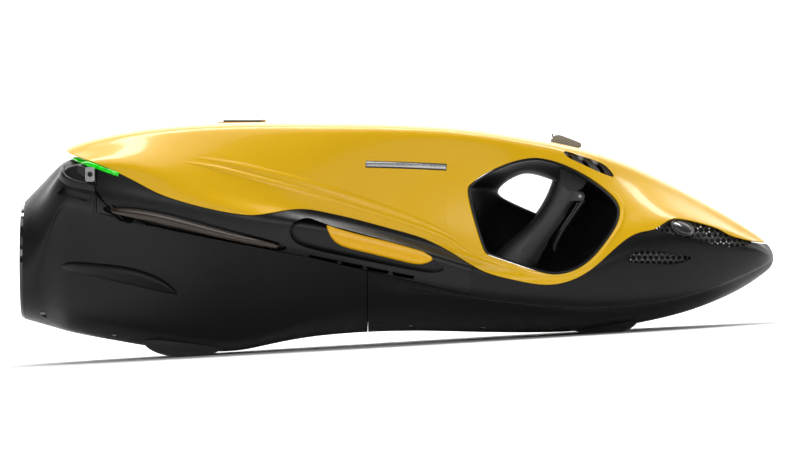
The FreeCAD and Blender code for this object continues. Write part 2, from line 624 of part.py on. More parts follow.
def lamp():
    """Headlamp behind the upper grille: a cup with its lens, aimed forward and outwards."""
    centre = Vec(436, -139, 186)
    aim = Vec(0.80, -0.58, 0.14).normalize()
    cup = Part.makeCylinder(dim["lamp_radius"] + 3, 20, centre - aim * 20, aim)
    cup = cup.cut(Part.makeCylinder(dim["lamp_radius"] + 0.1, 8, centre - aim * 8, aim))
    lens = Part.makeCylinder(dim["lamp_radius"], 5, centre - aim * 7, aim)
    return cup, lens


lamp_cup, lamp_lens = lamp()
keep_pair("lamp_cup", lamp_cup)
keep_pair("lamp_lens", lamp_lens)


# grips and controls
def grip_bar(extra=0.0):
    return skin(swept_rows(GRIP_AXIS, GRIP_SIZE, -dim["grip_y"], extra))


def trigger_hinge(radius, half_width):
    start = Vec(dim["trigger_x"], -dim["grip_y"] - half_width, dim["trigger_z"])
    return Part.makeCylinder(radius, 2 * half_width, start, Vec(0, 1, 0))


def trigger_blade():
    """Curved finger lever that hangs from its pin in front of the grip."""
    blade = skin(swept_rows(TRIGGER_AXIS, TRIGGER_SIZE, -dim["grip_y"]))
    boss = trigger_hinge(6, dim["trigger_width"] / 2)
    return only_solid(blade.fuse(boss).cut(trigger_hinge(dim["trigger_pin"] + dim["run_gap"], 30)))


def trigger_sweep():
    """Room that the blade needs from rest to the end of its pull."""
    room = skin(swept_rows(TRIGGER_AXIS, TRIGGER_SIZE, -dim["grip_y"], 0.8))
    hinge = Vec(dim["trigger_x"], 0, dim["trigger_z"])
    steps = []
    for angle in (1.5, 3, 4.5, dim["trigger_pull"]):
        step = room.copy()
        step.rotate(hinge, Vec(0, 1, 0), angle)
        steps.append(step)
    return room.fuse(steps)


hand_room = funnel(liner_skin - dim["liner_wall"] - dim["fit_gap"]).common(hull(7))


def grip():
    """Bar that stands in the hand opening, with ears for the trigger and a seat for its button."""
    half = dim["trigger_width"] / 2
    ear = Part.makeCylinder(7, 4, Vec(dim["trigger_x"], 0, dim["trigger_z"]), Vec(0, 1, 0))
    arm = straight_prism([(250, 250), (276, 250), (276, 236), (250, 236)], 0, 4)
    ears = []
    for y in (-dim["grip_y"] - half - 4.5, -dim["grip_y"] + half + 0.5):
        piece = ear.fuse(arm)
        piece.translate(Vec(0, y, 0))
        ears.append(piece)
    room = trigger_hinge(7.5, half + 0.5).fuse(
        box((268, -dim["grip_y"] - half - 0.5, 225), (300, -dim["grip_y"] + half + 0.5, 252)))
    bar = grip_bar().cut(room).fuse(ears)
    sleeve_seat = grip_bar().cut(grip_bar(-1.8)).common(straight_prism(SLEEVE_SPAN, -400, 0))
    button_hole = Part.makeCylinder(dim["button_radius"] + 0.3, 12,
                                    Vec(*BUTTON_SPOT) - Vec(0, 12, 0), Vec(0, 1, 0))
    bar = bar.cut([sleeve_seat, button_hole, trigger_hinge(dim["trigger_pin"], 30)])
    return only_solid(bar.common(hand_room))


SLEEVE_SPAN = [(186, 160), (214, 138), (262, 196), (246, 228), (232, 232), (224, 214)]
BUTTON_SPOT = (250, -dim["grip_y"] + 24, 262)

print("grips")
keep_pair("grip", grip())
sleeve = grip_bar().cut(grip_bar(-1.75)).common(straight_prism(grown(SLEEVE_SPAN, -0.1), -400, 0))
keep_pair("grip_sleeve", only_solid(sleeve.cut(trigger_sweep()).common(hand_room)))
keep_pair("trigger", trigger_blade())
pins = trigger_hinge(dim["trigger_pin"], dim["trigger_width"] / 2 + 4.5)
keep("trigger_pins", Part.makeCompound([pins, mirrored(pins)]))
for name, side in (("boost_button", 1), ("slow_button", -1)):
    body = turned(name, [("-4", "0"), ("-4", "button_radius - 2"), ("3", "button_radius - 2"),
                         ("3", "button_radius"), ("7", "button_radius"), ("9", "button_radius - 2"),
                         ("9", "0")])
    spot = Vec(BUTTON_SPOT[0], side * BUTTON_SPOT[1], BUTTON_SPOT[2])
    body.Placement = FreeCAD.Placement(spot - Vec(0, side * 6, 0), FreeCAD.Rotation(Vec(0, 0, 1), side * 90))


# display and deck
def display_hood():
    block_shape = hood_block(0).common(box((230, -44, 318), (300, 44, 345)))
    rounded = softened(block_shape, block_shape, 3, 40)
    seat = straight_prism([(230, 321), (230, 340), (238.2, 340), (242.5, 321)], -38, 38)
    core = box((245, -34, 312), (272, 34, 327))
    return only_solid(rounded.cut([seat, core]))


print("display and deck")
keep("display_hood", display_hood())
screen = straight_prism([(239.4, 321.6), (235.4, 339), (237.6, 339.4), (241.9, 321.6)], -37, 37)
keep("display_glass", screen)


def charge_flap():
    """Thin lid over the charging socket, hinged at its front edge."""
    length, width, thick = dim["flap_length"], dim["flap_width"], dim["flap_thick"]
    low = dim["hinge_height"] - 0.9
    rear = dim["hinge_x"] - length
    plate = box((rear, -width / 2, low), (dim["hinge_x"] - 3.6, width / 2, low + thick))
    plate = plate.makeFillet(8, [e for e in plate.Edges
                                 if abs(e.tangentAt(0).z) > 0.9 and e.BoundBox.XMax < rear + 1])
    tongue = box((dim["hinge_x"] - 5, -11.8, low), (dim["hinge_x"], 11.8, low + thick))
    barrel = hinge_solid(dim["knuckle"], 11.8)
    plug = Part.makeCylinder(dim["socket_radius"] - 3, 4, Vec(dim["flap_x"], 0, low - 4))
    return only_solid(plate.fuse([tongue, barrel, plug]).cut(hinge_solid(dim["hinge_pin"] + dim["run_gap"], 40)))


keep("charge_flap", charge_flap())
keep("flap_pin", hinge_solid(dim["hinge_pin"], 19.2))
plug_top = 352
socket = Part.makeCylinder(dim["socket_radius"], dim["socket_depth"],
                           Vec(dim["flap_x"], 0, plug_top - dim["socket_depth"]))
well = Part.makeCylinder(dim["socket_radius"] - 2.5, 12, Vec(dim["flap_x"], 0, plug_top - 12))
contacts = [Part.makeCylinder(1.6, 8, Vec(dim["flap_x"] + 7 * math.cos(k * math.pi / 2.5),
                                          7 * math.sin(k * math.pi / 2.5), plug_top - 13)) for k in range(5)]
keep("charge_socket", only_solid(socket.cut(well).fuse(contacts)))


def tether_hook():
    """Small eye for the tether on two short arms, standing off the stern ridge."""
    tab = box((-472, -174, 265), (-458, -170, 287))
    tab = tab.makeFillet(3, [edge for edge in tab.Edges if abs(edge.tangentAt(0).y) > 0.9])
    arms = [box((-470, -172, low), (-460, -150, low + 3.5)) for low in (266, 282.5)]
    eye = Part.makeCylinder(dim["eye_radius"], 8, Vec(-465, -176, 276), Vec(0, 1, 0))
    return tab.fuse(arms).cut([eye, tail_form])


# feet
def foot(x, z, length, width, height):
    """Rubber foot with a flat sole on the ground plane."""
    rows = []
    steps = [(-1, 0.3), (-0.86, 0.62), (-0.5, 0.93), (0, 1), (0.5, 0.93), (0.86, 0.62), (1, 0.3)]
    for along, share in steps:
        rows.append([Vec(x + along * length / 2, -dim["foot_y"] + share * width / 2 * math.sin(a),
                         z + height * share * math.cos(a))
                     for a in [2 * math.pi * k / 16 for k in range(16)]])
    blob = skin(rows)
    span = dim["front_foot_x"] - dim["rear_foot_x"]
    slope = dim["foot_rise"] / span
    under = slab(Part.makePolygon([Vec(-700, 0, slope * (-700 - dim["rear_foot_x"])),
                                   Vec(700, 0, slope * (700 - dim["rear_foot_x"])),
                                   Vec(700, 0, -300), Vec(-700, 0, -300),
                                   Vec(-700, 0, slope * (-700 - dim["rear_foot_x"]))]), -400, 400)
    return only_solid(blob.cut(under).cut(outer))


print("feet")
keep_pair("rear_foot", foot(-322, 26, 128, 52, 29))
keep_pair("front_foot", foot(308, 56, 112, 46, 24))


# jet drive
print("jet drive")
turned("nozzle_ring", [("tail_x", "ring_radius - 5"), ("tail_x", "ring_radius - 1"),
                       ("tail_x + 1", "ring_radius"), ("tail_x + 4.6", "ring_radius"),
                       ("tail_x + 4.6", "duct_radius + 3.4"), ("tail_x + 1.5", "duct_radius + 3.4")])
duct = tube_x(dim["duct_radius"] + dim["duct_wall"], dim["tail_x"] + 2, dim["duct_front"] - 26).cut(
    tube_x(dim["duct_radius"], dim["tail_x"] - 10, dim["duct_front"]))
keep("jet_duct", duct)


def elbow():
    """Intake elbow with the boss that carries the shaft seal."""
    boss = tube_x(24, -290, dim["seal_front"])
    wall = elbow_outer.fuse(boss).cut(elbow_space)
    wall = wall.cut([tube_x(dim["shaft_radius"] + 1, -400, 0),
                     tube_x(dim["seal_radius"], dim["seal_front"] - dim["seal_width"], 0),
                     box((-500, -400, -60), (dim["duct_front"] - 25.6, 400, 400))])
    return only_solid(wall.common(hull(0.8, stop=560)))


def blade(x, reach, hub, length, lean, thick, index, count):
    """One twisted blade between the hub and the duct, lofted through three sections."""
    wires = []
    for share in (0, 0.5, 1):
        radius = hub - 2 + (reach - hub + 2) * share
        turn = lean * (0.55 + 0.45 * share)
        dx, dy = length / 2 * math.cos(turn), length / 2 * math.sin(turn)
        tx, ty = -thick / 2 * math.sin(turn), thick / 2 * math.cos(turn)
        corners = [(-dx - tx, -dy - ty), (dx - tx, dy - ty), (dx + tx, dy + ty), (-dx + tx, -dy + ty)]
        wires.append(Part.makePolygon([Vec(x + a, b, radius) for a, b in corners + corners[:1]]))
    shape = Part.makeLoft(wires, True, False)
    shape.rotate(Vec(0, 0, 0), Vec(1, 0, 0), 360 * index / count)
    shape.translate(Vec(0, 0, jet_z))
    return shape


def bladed(start, length, hub, reach, lean, thick, count, bore):
    middle = start + length / 2
    blades = [blade(middle, reach + 6, hub, length * 0.8, lean, thick, k, count) for k in range(int(count))]
    shape = tube_x(hub, start, start + length).fuse(blades)
    return only_solid(shape.common(tube_x(reach, start - 5, start + length + 5)).cut(tube_x(bore, -700, 0)))


keep("intake_elbow", elbow())
stator = bladed(dim["stator_rear"], dim["stator_length"], dim["stator_hub"], dim["duct_radius"] - 0.1,
                math.radians(12), 3, dim["vane_count"], dim["shaft_radius"] + 1)
stator = stator.cut(tube_x(dim["bearing_radius"], dim["shaft_rear"] + 2,
                           dim["shaft_rear"] + 2 + dim["bearing_width"] + 0.2))
stator = only_solid(stator.cut(tube_x(dim["bearing_radius"], dim["stator_rear"] - 1, dim["shaft_rear"] + 3)))
keep("stator", stator)
impeller = bladed(dim["impeller_rear"], dim["impeller_length"], dim["impeller_hub"],
                  dim["duct_radius"] - dim["tip_gap"], math.radians(-48), 4, dim["blade_count"],
                  dim["shaft_radius"])
keep("impeller", impeller)
turned("impeller_nut", [("impeller_rear + impeller_length", "shaft_radius"),
                        ("impeller_rear + impeller_length", "impeller_hub - 1"),
                        ("impeller_rear + impeller_length + 14", "impeller_hub - 6"),
                        ("impeller_rear + impeller_length + 24", "shaft_radius + 3"),
                        ("impeller_rear + impeller_length + 24", "shaft_radius")])
turned("drive_shaft", [("shaft_rear", "0"), ("shaft_rear", "shaft_radius - 1"),
                       ("shaft_rear + 1", "shaft_radius"), ("shaft_front - 1", "shaft_radius"),
                       ("shaft_front", "shaft_radius - 1"), ("shaft_front", "0")])


def ring_body(name, start, length, inner, outer_radius):
    return turned(name, [(start, inner), (start, outer_radius), (f"{start} + {length}", outer_radius),
                         (f"{start} + {length}", inner)])


ring_body("rear_bearing", "shaft_rear + 2.1", "bearing_width", "shaft_radius + run_gap", "bearing_radius - 0.02")
ring_body("front_bearing", "motor_rear + 1", "bearing_width", "shaft_radius + run_gap", "bearing_radius - 0.02")
ring_body("shaft_seal", "seal_front - seal_width + 0.1", "seal_width - 0.2", "shaft_radius + run_gap",
          "seal_radius - 0.02")
turned("motor_housing", [("motor_rear", "bearing_radius"), ("motor_rear", "motor_radius - 4"),
                         ("motor_rear + 4", "motor_radius"),
                         ("motor_rear + motor_length - 4", "motor_radius"),
                         ("motor_rear + motor_length", "motor_radius - 4"), ("motor_rear + motor_length", "0"),
                         ("motor_rear + motor_length - motor_wall", "0"),
                         ("motor_rear + motor_length - motor_wall", "motor_radius - motor_wall"),
                         ("motor_rear + 14", "motor_radius - motor_wall"), ("motor_rear + 14", "bearing_radius")])
ring_body("motor_stator", "motor_rear + 22", "core_length", "rotor_radius + air_gap",
          "motor_radius - motor_wall - 0.02")
ring_body("motor_rotor", "motor_rear + 22", "core_length", "shaft_radius", "rotor_radius")


# power
def standing(x, z):
    return FreeCAD.Placement(Vec(x, 0, z), FreeCAD.Rotation())


print("power")
block("battery_pack", rectangle("battery_length", "battery_width"), "battery_tall",
      standing(dim["battery_rear"] + dim["battery_length"] / 2, dim["battery_floor"]), "box_round", 4)


def chassis_tray():
    """Tray on the hull floor that carries the battery and cradles the motor."""
    front = dim["battery_rear"] + dim["battery_length"]
    half = dim["tray_width"] / 2
    top = dim["battery_floor"] - dim["fit_gap"]
    plate = box((-210, -half, dim["tray_floor"]), (front, half, top))
    saddles = [box((x, -58, dim["tray_floor"]), (x + 16, 58, 130)) for x in (-200, -122)]
    shape = plate.fuse(saddles).cut(tube_x(dim["motor_radius"] + 0.3, -240, -80))
    windows = [box((x, side * 50 - 25, 0), (x + 36, side * 50 + 25, 90)) for x in (-50, 20) for side in (1, -1)]
    screw_room = [screw(x, side * y, 2 * dim["fit_gap"]) for x, y in screw_spots for side in (1, -1)]
    return only_solid(shape.cut(windows + screw_room).common(hull_inner_clear))


hull_inner_clear = hull(dim["hull_wall"] + dim["fit_gap"], TOP, -560, 560)
keep("chassis_tray", chassis_tray())
case = box((dim["controller_rear"], -dim["controller_width"] / 2, 190),
           (dim["controller_rear"] + dim["controller_length"], dim["controller_width"] / 2,
            dim["controller_top"]))
case = case.makeFillet(6, [e for e in case.Edges if abs(e.tangentAt(0).z) > 0.9])
case = case.cut(tube_x(dim["motor_radius"] + 0.3, -260, -60))
keep("controller_box", only_solid(case))


def power_cable():
    """Lead from the controller to the battery, one straight run, a bend and a drop."""
    start = Vec(dim["controller_rear"] + dim["controller_length"], 30, dim["controller_top"] - 12)
    bend = 18
    end = Vec(dim["battery_rear"] + 30, 30, dim["battery_floor"] + dim["battery_tall"])
    corner = Vec(end.x, 30, start.z)
    middle = Vec(corner.x - bend + bend * math.sin(math.pi / 4), 30,
                 corner.z - bend + bend * math.cos(math.pi / 4))
    first = Part.LineSegment(start, Vec(corner.x - bend, 30, corner.z)).toShape()
    turn = Part.Arc(Vec(corner.x - bend, 30, corner.z), middle, Vec(corner.x, 30, corner.z - bend)).toShape()
    drop = Part.LineSegment(Vec(corner.x, 30, corner.z - bend), end).toShape()
    ring = Part.Wire([Part.makeCircle(dim["cable_radius"], start, Vec(1, 0, 0))])
    return Part.Wire([first, turn, drop]).makePipeShell([ring], True, False)


keep("power_cable", power_cable())
keep_screws = [screw(x, side * y, 0) for x, y in screw_spots for side in (1, -1)]
keep("hull_screws", Part.makeCompound(keep_screws))
hooks = tether_hook()
keep("tether_eyes", Part.makeCompound([hooks, mirrored(hooks)]))

# stand it on its feet
doc.recompute()
pitch = math.degrees(math.atan2(dim["foot_rise"], dim["front_foot_x"] - dim["rear_foot_x"]))
tilt = FreeCAD.Rotation(Vec(0, 1, 0), pitch)
trial = Part.makeCompound([tail_form, outer])
trial.Placement = FreeCAD.Placement(Vec(0, 0, 0), tilt)
box_x = trial.optimalBoundingBox(False)
sole = tilt.multVec(Vec(dim["rear_foot_x"], 0, 0))
stand = FreeCAD.Placement(Vec(-(box_x.XMin + box_x.XMax) / 2, 0, -sole.z), tilt)
print("pitch", round(pitch, 4), "shift", [round(v, 4) for v in stand.Base])

problems = []
os.makedirs("parts", exist_ok=True)
for item in made:
    item.Placement = stand.multiply(item.Placement)
doc.recompute()
for item in doc.Objects:
    if "Invalid" in item.State or "Error" in item.State:
        problems.append(f"{item.Label}: {item.State}")
for item in made:
    if item.Shape.isNull() or not item.Shape.isValid():
        problems.append(f"{item.Label}: empty or invalid shape")
if problems:
    raise SystemExit("\n".join(problems))
for item in made:
    item.Shape.exportStep(f"parts/{item.Label}.step")
print(len(made), "pieces written")
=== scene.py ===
import bpy
import bmesh
import json
import math
import numpy as np
from mathutils import Matrix, Vector
from mathutils.bvhtree import BVHTree


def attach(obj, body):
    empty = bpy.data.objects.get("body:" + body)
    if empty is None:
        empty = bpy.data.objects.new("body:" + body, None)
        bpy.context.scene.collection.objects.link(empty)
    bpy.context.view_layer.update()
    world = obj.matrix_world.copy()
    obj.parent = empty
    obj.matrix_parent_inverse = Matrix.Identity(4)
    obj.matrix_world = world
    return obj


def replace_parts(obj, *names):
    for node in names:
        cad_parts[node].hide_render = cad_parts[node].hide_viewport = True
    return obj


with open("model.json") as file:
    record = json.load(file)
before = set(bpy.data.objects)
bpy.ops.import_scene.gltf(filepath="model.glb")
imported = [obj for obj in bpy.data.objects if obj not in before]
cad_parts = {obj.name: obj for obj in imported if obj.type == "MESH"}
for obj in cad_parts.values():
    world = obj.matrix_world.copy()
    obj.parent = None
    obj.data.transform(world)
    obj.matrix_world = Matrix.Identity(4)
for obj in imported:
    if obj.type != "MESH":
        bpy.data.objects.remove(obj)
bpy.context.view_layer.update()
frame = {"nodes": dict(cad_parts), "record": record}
nodes = frame["nodes"]
print("frame loaded:", len(nodes), "nodes")

# the craft stands nose down on its feet; hull places are given level and turned by this
stance = {"pitch": 3.2678, "shiftX": -0.0062159, "lift": -0.017272}
stand = (Matrix.Translation((stance["shiftX"], 0, stance["lift"]))
         @ Matrix.Rotation(math.radians(stance["pitch"]), 4, "Y"))


def hullPoint(x, y, z):
    return stand @ Vector((x, y, z))


# materials
class Recipe:
    # a shorthand for building one node material
    def __init__(self, name):
        self.material = bpy.data.materials.new(name)
        self.material.use_nodes = True
        self.tree = self.material.node_tree
        self.shader = self.tree.nodes["Principled BSDF"]
        self.coords = self.node("ShaderNodeTexCoord").outputs["Object"]

    def node(self, kind, **values):
        made = self.tree.nodes.new(kind)
        for key, value in values.items():
            setattr(made, key, value)
        return made

    def link(self, source, target):
        self.tree.links.new(source, target)

    def noise(self, scale, detail=3, rough=0.5, stretch=None):
        made = self.node("ShaderNodeTexNoise")
        made.inputs["Scale"].default_value = scale
        made.inputs["Detail"].default_value = detail
        made.inputs["Roughness"].default_value = rough
        source = self.coords
        if stretch:
            mapping = self.node("ShaderNodeMapping")
            mapping.inputs["Scale"].default_value = stretch
            self.link(source, mapping.inputs["Vector"])
            source = mapping.outputs["Vector"]
        self.link(source, made.inputs["Vector"])
        return made.outputs["Fac"]

    def spread(self, value, low, high, start=0.3, end=0.7):
        made = self.node("ShaderNodeMapRange")
        made.inputs["From Min"].default_value = start
        made.inputs["From Max"].default_value = end
        made.inputs["To Min"].default_value = low
        made.inputs["To Max"].default_value = high
        self.link(value, made.inputs["Value"])
        return made.outputs["Result"]

    def blend(self, value, first, second):
        made = self.node("ShaderNodeMix", data_type="RGBA")
        made.inputs["A"].default_value = (*first, 1)
        made.inputs["B"].default_value = (*second, 1)
        self.link(value, made.inputs["Factor"])
        return made.outputs["Result"]

    def bump(self, value, strength, depth):
        made = self.node("ShaderNodeBump")
        made.inputs["Strength"].default_value = strength
        made.inputs["Distance"].default_value = depth
        self.link(value, made.inputs["Height"])
        if self.shader.inputs["Normal"].is_linked:
            self.link(self.shader.inputs["Normal"].links[0].from_socket, made.inputs["Normal"])
        self.link(made.outputs["Normal"], self.shader.inputs["Normal"])

    def fixed(self, **values):
        names = {"coat": "Coat Weight", "coatRough": "Coat Roughness", "metal": "Metallic",
                 "sheen": "Sheen Weight", "sheenRough": "Sheen Roughness", "ior": "IOR",
                 "clear": "Transmission Weight", "glow": "Emission Strength",
                 "specular": "Specular IOR Level"}
        for key, value in values.items():
            self.shader.inputs[names[key]].default_value = value
        return self


def plasticMaterial(name, colour, rough, grain, depth, shade=0.8, coat=0.0, coatRough=0.05, **fixed):
    # moulded plastic: two tones of one colour, uneven gloss and a fine moulded grain
    recipe = Recipe(name)
    darker = tuple(c * shade for c in colour)
    cloud = recipe.noise(9, 4)
    recipe.link(recipe.blend(recipe.spread(cloud, 0, 1), darker, colour), recipe.shader.inputs["Base Color"])
    smudge = recipe.noise(38, 5, 0.6)
    recipe.link(recipe.spread(smudge, rough * 0.86, rough * 1.14), recipe.shader.inputs["Roughness"])
    if depth:
        recipe.bump(recipe.noise(grain, 2), 0.5, depth)
    recipe.fixed(coat=coat, coatRough=coatRough, **fixed)
    return recipe.material


def paintMaterial(name, colour, deep):
    # coloured plastic under clear lacquer, with the faint ripple that lacquer dries to
    recipe = Recipe(name)
    cloud = recipe.noise(4.5, 3)
    recipe.link(recipe.blend(recipe.spread(cloud, 0, 1), deep, colour), recipe.shader.inputs["Base Color"])
    haze = recipe.noise(60, 5, 0.65)
    recipe.link(recipe.spread(haze, 0.27, 0.36), recipe.shader.inputs["Roughness"])
    recipe.bump(recipe.noise(210, 2), 0.16, 0.00006)
    recipe.fixed(coat=0.3, coatRough=0.1, specular=0.25)
    return recipe.material


def rubberMaterial(name, colour, rough, grain):
    recipe = Recipe(name)
    speck = recipe.noise(grain, 3, 0.6)
    dust = recipe.noise(22, 5, 0.7)
    lighter = tuple(c * 1.7 + 0.004 for c in colour)
    tone = recipe.blend(recipe.spread(dust, 0, 0.6), colour, lighter)
    recipe.link(tone, recipe.shader.inputs["Base Color"])
    recipe.link(recipe.spread(speck, rough - 0.08, rough + 0.1), recipe.shader.inputs["Roughness"])
    recipe.bump(speck, 0.5, 0.00012)
    recipe.fixed(sheen=0.12, sheenRough=0.5)
    return recipe.material


def metalMaterial(name, colour, rough, stretch=(1, 1, 1), grain=900):
    # turned or brushed metal: fine lines along one direction and a slightly uneven tone
    recipe = Recipe(name)
    lines = recipe.noise(grain, 3, 0.6, stretch)
    cloud = recipe.noise(25, 3)
    darker = tuple(c * 0.82 for c in colour)
    recipe.link(recipe.blend(recipe.spread(cloud, 0, 1), darker, colour), recipe.shader.inputs["Base Color"])
    recipe.link(recipe.spread(lines, rough * 0.75, rough * 1.3), recipe.shader.inputs["Roughness"])
    recipe.bump(lines, 0.25, 0.00003)
    recipe.fixed(metal=1.0)
    return recipe.material


def glassMaterial(name, tint):
    recipe = Recipe(name)
    smear = recipe.noise(45, 5, 0.7)
    recipe.link(recipe.spread(smear, 0.02, 0.09), recipe.shader.inputs["Roughness"])
    recipe.shader.inputs["Base Color"].default_value = (*tint, 1)
    recipe.fixed(clear=0.9, ior=1.49, coat=0.3)
    return recipe.material


def lightMaterial(name, colour, glow):
    # lit green plastic, brighter where the diodes sit behind it
    recipe = Recipe(name)
    spots = recipe.noise(120, 2)
    deep = tuple(c * 0.45 for c in colour)
    tone = recipe.blend(recipe.spread(spots, 0, 1), deep, colour)
    recipe.link(tone, recipe.shader.inputs["Base Color"])
    recipe.link(tone, recipe.shader.inputs["Emission Color"])
    recipe.link(recipe.spread(recipe.noise(300, 2), 0.16, 0.26), recipe.shader.inputs["Roughness"])
    recipe.fixed(glow=glow, coat=0.4)
    return recipe.material


black = (0.005, 0.005, 0.0052)
finishes = {
    "cover_yellow": paintMaterial("yellowLacquer", (0.79, 0.46, 0.0015), (0.76, 0.43, 0.0015)),
    "insert_yellow": paintMaterial("yellowInsert", (0.80, 0.43, 0.002), (0.77, 0.40, 0.002)),
    "hull_black": plasticMaterial("hullBlack", black, 0.38, 1900, 0.00005, specular=0.26),
    "frame_black": plasticMaterial("frameBlack", black, 0.32, 2100, 0.00005, specular=0.3),
    "liner_black": plasticMaterial("linerBlack", (0.006, 0.006, 0.0062), 0.42, 1700, 0.00006, specular=0.35),
    # the warm brown tint of the black rail is a painted reflection of the yellow cover
    "rail_black": plasticMaterial("railGlossPaintedBronze", (0.03, 0.017, 0.009), 0.22, 900, 0.00001, coat=0.25),
    "grip_body": plasticMaterial("gripBlack", (0.02, 0.02, 0.0205), 0.43, 1500, 0.00008),
    "grip_rubber": rubberMaterial("gripRubber", (0.018, 0.018, 0.0185), 0.52, 1300),
    "trigger_black": plasticMaterial("triggerBlack", (0.016, 0.016, 0.016), 0.4, 1600, 0.00006),
    "steel": metalMaterial("stainless", (0.36, 0.36, 0.355), 0.3),
    "button_green": plasticMaterial("buttonGreen", (0.02, 0.42, 0.05), 0.35, 1500, 0.00004),
    "button_red": plasticMaterial("buttonRed", (0.5, 0.015, 0.012), 0.35, 1500, 0.00004),
    "hood_grey": plasticMaterial("hoodGrey", (0.27, 0.275, 0.28), 0.34, 1800, 0.00005, coat=0.2),
    "screen_glass": plasticMaterial("screenGlass", (0.006, 0.008, 0.011), 0.08, 500, 0.0, coat=0.8),
    "slat_grey": plasticMaterial("slatGrey", (0.075, 0.075, 0.078), 0.33, 1700, 0.00005),
    "grille_black": plasticMaterial("meshBlack", (0.035, 0.035, 0.036), 0.4, 1500, 0.00003),
    "lamp_housing": plasticMaterial("lampCup", (0.03, 0.03, 0.032), 0.2, 900, 0.00001, coat=0.5),
    "lens_clear": glassMaterial("lampLens", (0.92, 0.95, 0.97)),
    "light_green": lightMaterial("tailGreen", (0.0, 0.68, 0.0), 0.5),
    "foot_rubber": rubberMaterial("footRubber", (0.012, 0.012, 0.012), 0.6, 900),
    "flap_black": plasticMaterial("flapBlack", (0.035, 0.035, 0.037), 0.4, 1600, 0.00006),
    "socket_black": plasticMaterial("socketBlack", (0.02, 0.02, 0.02), 0.45, 1500, 0.00005),
    "ring_gloss": plasticMaterial("ringGloss", (0.008, 0.008, 0.008), 0.1, 600, 0.0, coat=0.8),
    "duct_black": plasticMaterial("ductBlack", (0.02, 0.02, 0.021), 0.38, 1400, 0.00005),
    "impeller_grey": metalMaterial("impellerAlloy", (0.5, 0.51, 0.52), 0.3, (1, 6, 6), 500),
    "bearing_steel": metalMaterial("bearingSteel", (0.66, 0.66, 0.66), 0.2),
    "seal_rubber": rubberMaterial("sealRubber", (0.004, 0.004, 0.004), 0.6, 800),
    "motor_alloy": metalMaterial("motorAlloy", (0.52, 0.52, 0.54), 0.36),
    "core_steel": metalMaterial("coreSteel", (0.4, 0.37, 0.33), 0.4, (14, 1, 1), 400),
    "battery_case": plasticMaterial("batteryCase", (0.05, 0.05, 0.055), 0.45, 1200, 0.00008),
    "tray_plastic": plasticMaterial("trayPlastic", (0.08, 0.08, 0.085), 0.5, 1100, 0.0001),
    "controller_alloy": metalMaterial("controllerAlloy", (0.42, 0.43, 0.45), 0.42),
    "cable_jacket": rubberMaterial("cableJacket", (0.5, 0.13, 0.015), 0.45, 700),
}
for subpart in frame["record"]["subparts"]:
    slots = nodes[subpart["node"]].data.materials
    slots.clear()
    slots.append(finishes[subpart["material_slot"]])
print("materials on", len(nodes), "nodes")


# building helpers
def newPiece(name, form, finish, body="root", smooth=True):
    # turns a bmesh given in level hull places into a piece that stands with the craft
    form.transform(stand)
    mesh = bpy.data.meshes.new(name)
    for face in form.faces:
        face.smooth = smooth
    form.to_mesh(mesh)
    form.free()
    piece = bpy.data.objects.new(name, mesh)
    bpy.context.collection.objects.link(piece)
    mesh.materials.append(finishes[finish])
    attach(piece, body)
    return piece


def surfaceOf(*names):
    # one search tree over CAD nodes, brought back to level hull places
    back = stand.inverted()
    points, faces = [], []
    for name in names:
        mesh = nodes[name].data
        base = len(points)
        points += [back @ vertex.co for vertex in mesh.vertices]
        faces += [tuple(base + i for i in polygon.vertices) for polygon in mesh.polygons]
    return BVHTree.FromPolygons(points, faces)


def onSide(tree, x, z, side=-1, start=0.6):
    # where a line across the hull first meets its flank, with the way the skin faces there
    hit = tree.ray_cast(Vector((x, side * start, z)), Vector((0, -side, 0)), start)
    return hit[0], hit[1]


def along(line, share):
    # a place on a smooth line through the given hull places, by share of its points
    spot = share * (len(line) - 1)
    step = min(int(spot), len(line) - 2)
    part = spot - step
    p0, p1, p2, p3 = (Vector(line[min(max(step + k, 0), len(line) - 1)]) for k in (-1, 0, 1, 2))
    return 0.5 * (2 * p1 + (p2 - p0) * part + (2 * p0 - 5 * p1 + 4 * p2 - p3) * part ** 2
                  + (3 * p1 - p0 - 3 * p2 + p3) * part ** 3)


def ribbon(line, half, fade=0.0):
    # two edges of a band that follows a line, narrowing over its first and last parts
    edges = [[], []]
    for i, spot in enumerate(line):
        before, after = Vector(line[max(i - 1, 0)]), Vector(line[min(i + 1, len(line) - 1)])
        way = (after - before).normalized()
        share = i / (len(line) - 1)
        wide = half * (1 if not fade else min(1, 0.25 + share / fade, 0.25 + (1 - share) / fade))
        out = Vector((-way.y, way.x)) * wide
        edges[0].append(tuple(Vector(spot) + out))
        edges[1].append(tuple(Vector(spot) - out))
    return edges


def skinAt(tree, x, z, side):
    # the flank at a place, or the nearest of it where the skin stops short
    hit, way = onSide(tree, x, z, side)
    if hit is None:
        hit, way = tree.find_nearest(Vector((x, side * 0.2, z)))[:2]
    return hit, way


def relief(name, upper, lower, rise, finish, tree, side, steps=60, rows=8, thick=0.0012, bridge=False):
    # a skin that lies on the flank between two lines given in millimetres, raised by a rule of its own
    form = bmesh.new()
    bmesh.ops.create_grid(form, x_segments=steps, y_segments=rows, size=0.5)
    ends = {}
    for vertex in form.verts:
        u, v = vertex.co.x + 0.5, vertex.co.y + 0.5
        high, low = along(upper, u) / 1000, along(lower, u) / 1000
        spot = high.lerp(low, v)
        if bridge:
            key = round(u, 5)
            if key not in ends:
                ends[key] = [skinAt(tree, place.x, place.y, side) for place in (high, low)]
            (topHit, topWay), (lowHit, lowWay) = ends[key]
            hit, way = topHit.lerp(lowHit, v), topWay.lerp(lowWay, v).normalized()
        else:
            hit, way = skinAt(tree, spot.x, spot.y, side)
        if way.y * side < 0:
            way = -way
        vertex.co = hit + way * rise(u, v)
    bmesh.ops.solidify(form, geom=form.faces[:], thickness=thick)
    bmesh.ops.recalc_face_normals(form, faces=form.faces)
    return newPiece(name, form, finish)


